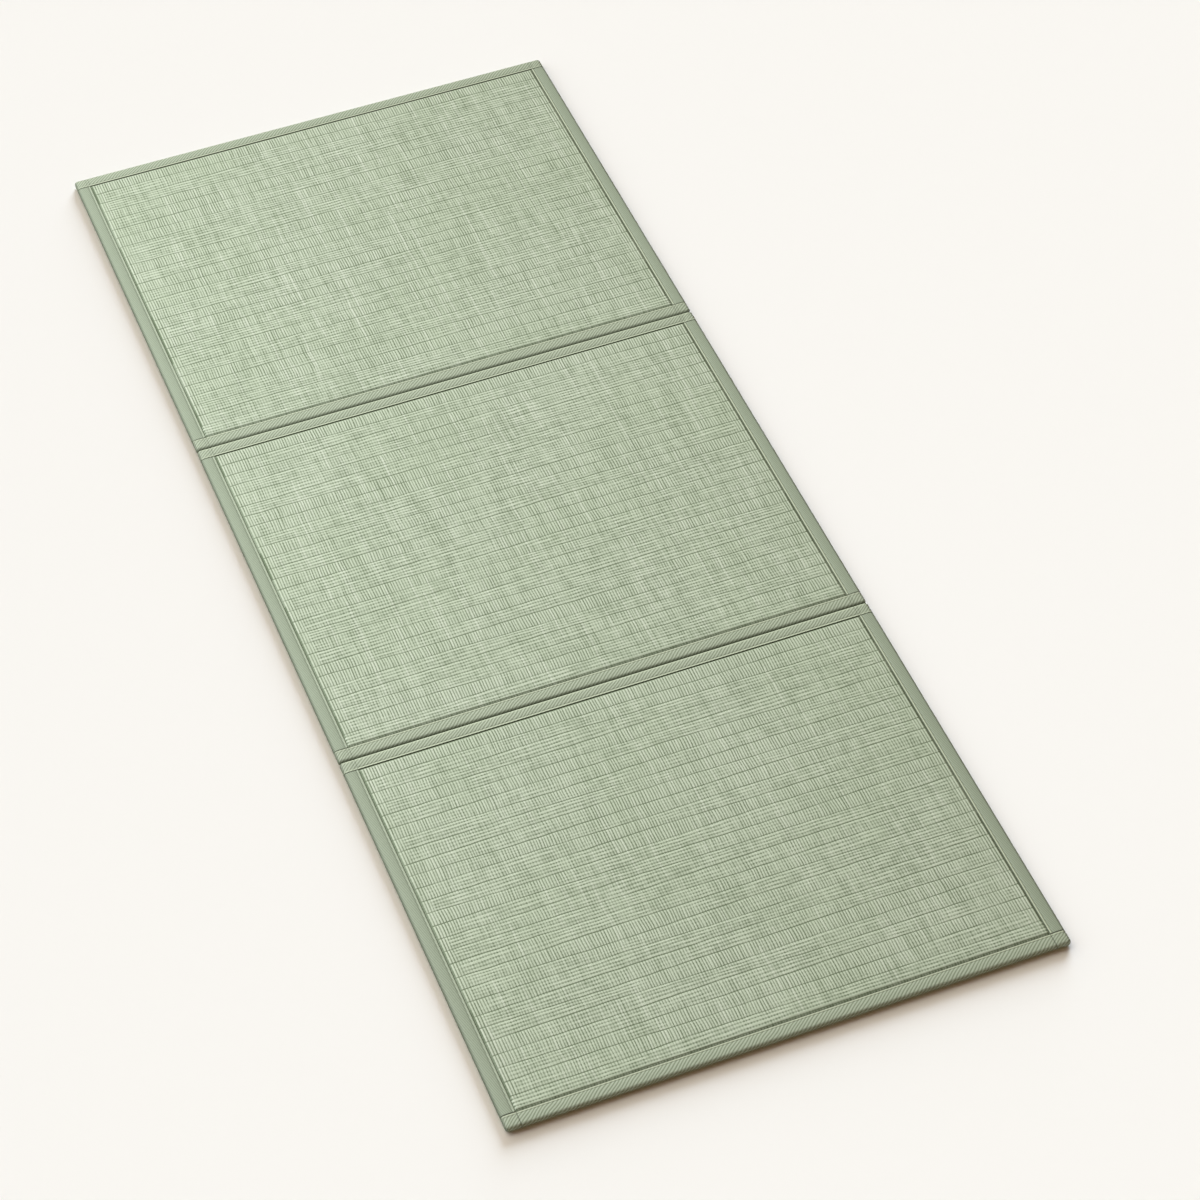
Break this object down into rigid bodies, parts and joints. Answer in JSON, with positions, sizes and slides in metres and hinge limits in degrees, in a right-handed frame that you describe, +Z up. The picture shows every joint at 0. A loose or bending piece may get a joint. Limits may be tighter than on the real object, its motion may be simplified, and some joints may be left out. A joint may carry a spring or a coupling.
{
  "type": "tatami mat",
  "caption": "Folding tatami mat lying flat, with woven rush panels in a row, each edged with twill cloth binding.",
  "frame": {"origin": "middle of the underside of the open mat, on the floor", "axes": "+Y along the mat to the far panel, +X across it to the right, +Z up"},
  "size_m": [0.8, 2, 0.0115],
  "materials": {
    "rush": "woven dried rush, pale green, ribbed across, slight sheen",
    "binding": "grey-green cotton twill, matt"
  },
  "bodies": {
    "root": {"panel_1_rush_slab": "rush", "panel_1_binding_left": "binding", "panel_1_binding_right": "binding", "panel_1_binding_near": "binding", "panel_1_binding_far": "binding", "panel_2_rush_slab": "rush", "panel_2_binding_left": "binding", "panel_2_binding_right": "binding", "panel_2_binding_near": "binding", "panel_2_binding_far": "binding", "panel_3_rush_slab": "rush", "panel_3_binding_left": "binding", "panel_3_binding_right": "binding", "panel_3_binding_near": "binding", "panel_3_binding_far": "binding"}
  },
  "joints": []
}
